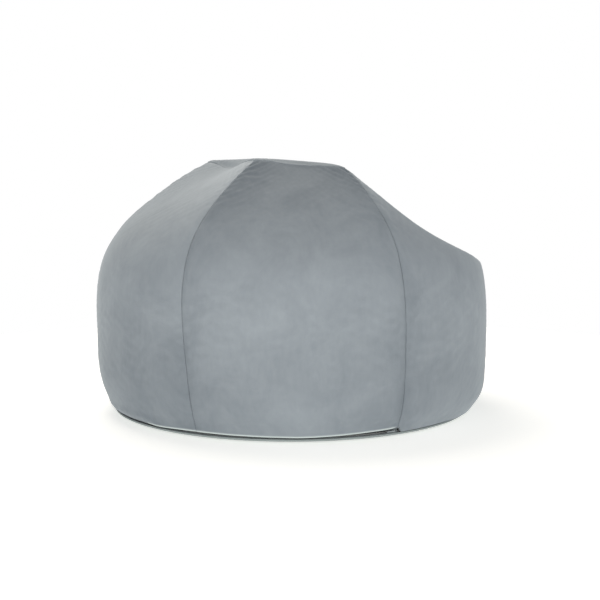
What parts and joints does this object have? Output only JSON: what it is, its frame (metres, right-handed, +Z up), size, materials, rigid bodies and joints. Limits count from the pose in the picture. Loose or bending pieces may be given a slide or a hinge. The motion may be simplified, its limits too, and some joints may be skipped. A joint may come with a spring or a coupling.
{
  "type": "bean bag chair",
  "caption": "Round bean bag chair of soft velvet gores with a hexagonal top cap, pressed into a seat with a raised back, over a zipped liner full of beads.",
  "frame": {"origin": "centre of the base, on the floor", "axes": "+Z up, the sitter faces -Y, the tall back is towards +Y, +X is the sitter's left"},
  "size_m": [0.995, 1.0055, 0.632],
  "materials": {
    "cover_cloth": "matte",
    "base_cloth": "matte",
    "liner_cloth": "matte",
    "beads": "matte",
    "zip_tape": "matte",
    "zip_coil": "satin",
    "zip_metal": "satin"
  },
  "bodies": {
    "bag": {"left_back_panel": "cover_cloth", "back_panel": "cover_cloth", "right_back_panel": "cover_cloth", "right_front_panel": "cover_cloth", "front_panel": "cover_cloth", "left_front_panel": "cover_cloth", "top_cap": "cover_cloth", "base_panel": "base_cloth", "liner_left_back_panel": "liner_cloth", "liner_back_panel": "liner_cloth", "liner_right_back_panel": "liner_cloth", "liner_right_front_panel": "liner_cloth", "liner_front_panel": "liner_cloth", "liner_left_front_panel": "liner_cloth", "liner_cap": "liner_cloth", "liner_base": "liner_cloth", "bead_fill": "beads", "zip_upper_tape": "zip_tape", "zip_upper_coil": "zip_coil", "zip_lower_tape": "zip_tape", "zip_lower_coil": "zip_coil", "zip_stops": "zip_metal", "liner_zip_upper_tape": "zip_tape", "liner_zip_upper_coil": "zip_coil", "liner_zip_lower_tape": "zip_tape", "liner_zip_lower_coil": "zip_coil", "liner_zip_stops": "zip_metal"},
    "cover_slider": {"zip_slider": "zip_metal"},
    "cover_pull": {"zip_pull": "zip_metal"},
    "liner_slider": {"liner_zip_slider": "zip_metal"}
  },
  "joints": [
    {"name": "cover_zip", "type": "hinge", "parent": "bag", "child": "cover_slider", "pos_m": [0, 0, 0.0148], "axis": [0, 0, 1], "range_deg": [-74.5, 0]},
    {"name": "pull_swing", "type": "hinge", "parent": "cover_slider", "child": "cover_pull", "pos_m": [-0.45326, -0.01108, 0.0148], "axis": [0, 0, 1], "range_deg": [0, 150]},
    {"name": "liner_zip", "type": "hinge", "parent": "bag", "child": "liner_slider", "pos_m": [0, 0, 0.0172], "axis": [0, 0, 1], "range_deg": [-43.5, 0]}
  ]
}
